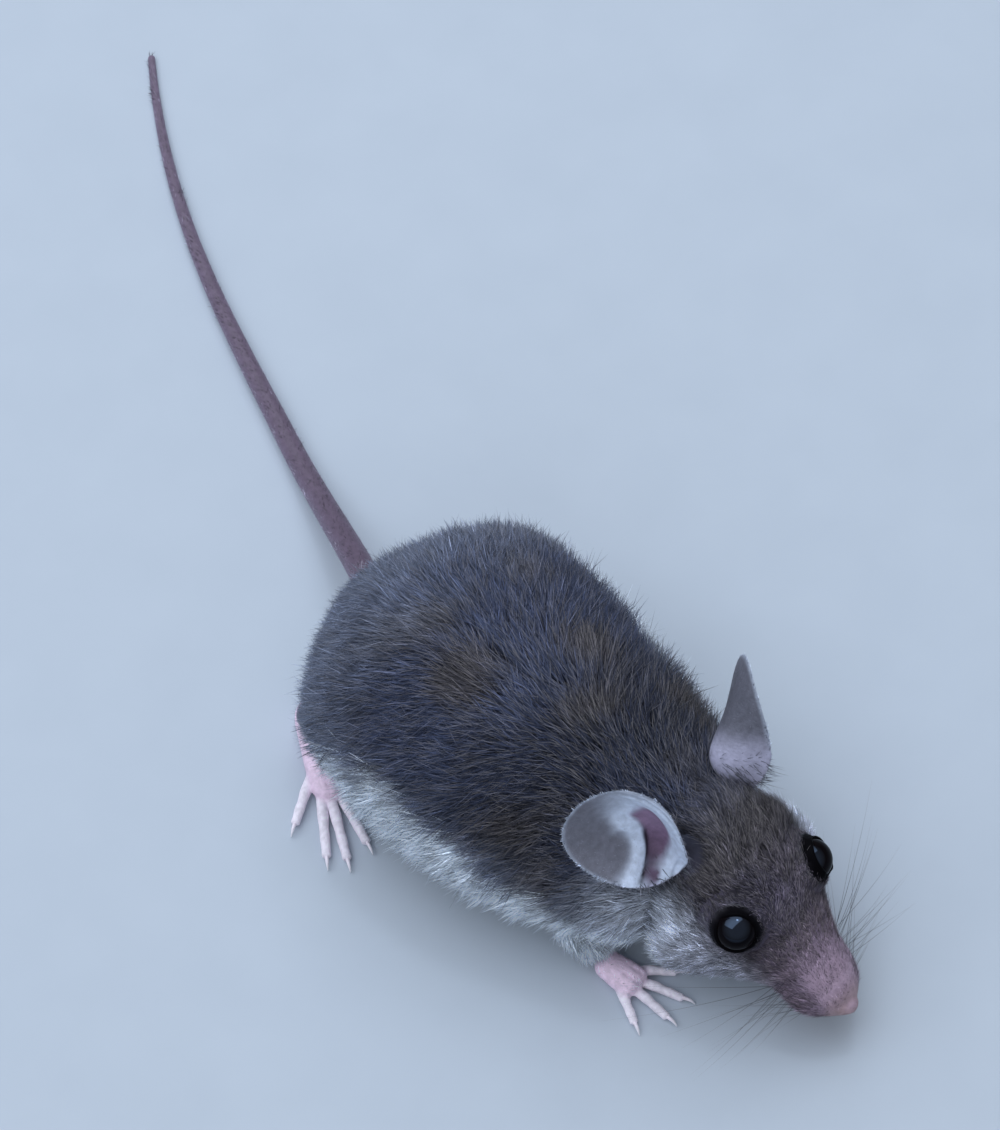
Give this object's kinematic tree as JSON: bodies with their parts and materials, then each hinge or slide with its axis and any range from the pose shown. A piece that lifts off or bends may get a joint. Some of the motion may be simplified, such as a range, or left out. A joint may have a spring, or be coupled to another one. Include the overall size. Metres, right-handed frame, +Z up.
{
  "type": "house mouse",
  "caption": "Small grey-brown rodent standing still with its head low: round ears, glossy dark eyes, pale belly, pink feet and a long thin tail along the ground.",
  "frame": {"origin": "middle of the footprint's bounding box, on the ground", "axes": "+Z up; -Y the way the mouse faces; +X the mouse's left; the tail runs back along +Y"},
  "size_m": [0.0494, 0.1324, 0.0261],
  "materials": {
    "coat_dark": "soft dark slate fur of the back and flanks",
    "coat_brown": "soft dark olive-brown fur of the head and neck",
    "coat_grey": "soft grey fur of the rump and haunches",
    "coat_pale": "soft whitish fur of the chin and arms",
    "ear_skin": "thin grey-pink skin with very fine down",
    "foot_skin": "pale pink skin, claws joined to the toes",
    "nose_skin": "moist mauve-pink skin",
    "tail_skin": "mauve-brown skin in fine scaly rings",
    "eye": "wet, glossy black"
  },
  "bodies": {
    "root": {"nose": "nose_skin", "lower_jaw": "coat_pale", "eye_right": "eye", "eye_left": "eye", "ear_right": "ear_skin", "ear_left": "ear_skin", "head": "coat_brown", "neck": "coat_brown", "chest": "coat_dark", "belly": "coat_dark", "rump": "coat_grey", "fore_leg_right": "coat_pale", "fore_leg_left": "coat_pale", "forepaw_right": "foot_skin", "forepaw_left": "foot_skin", "hind_leg_right": "coat_grey", "hind_leg_left": "coat_grey", "hind_foot_right": "foot_skin", "hind_foot_left": "foot_skin", "tail_base": "tail_skin", "tail_middle": "tail_skin", "tail_tip": "tail_skin"}
  },
  "joints": []
}
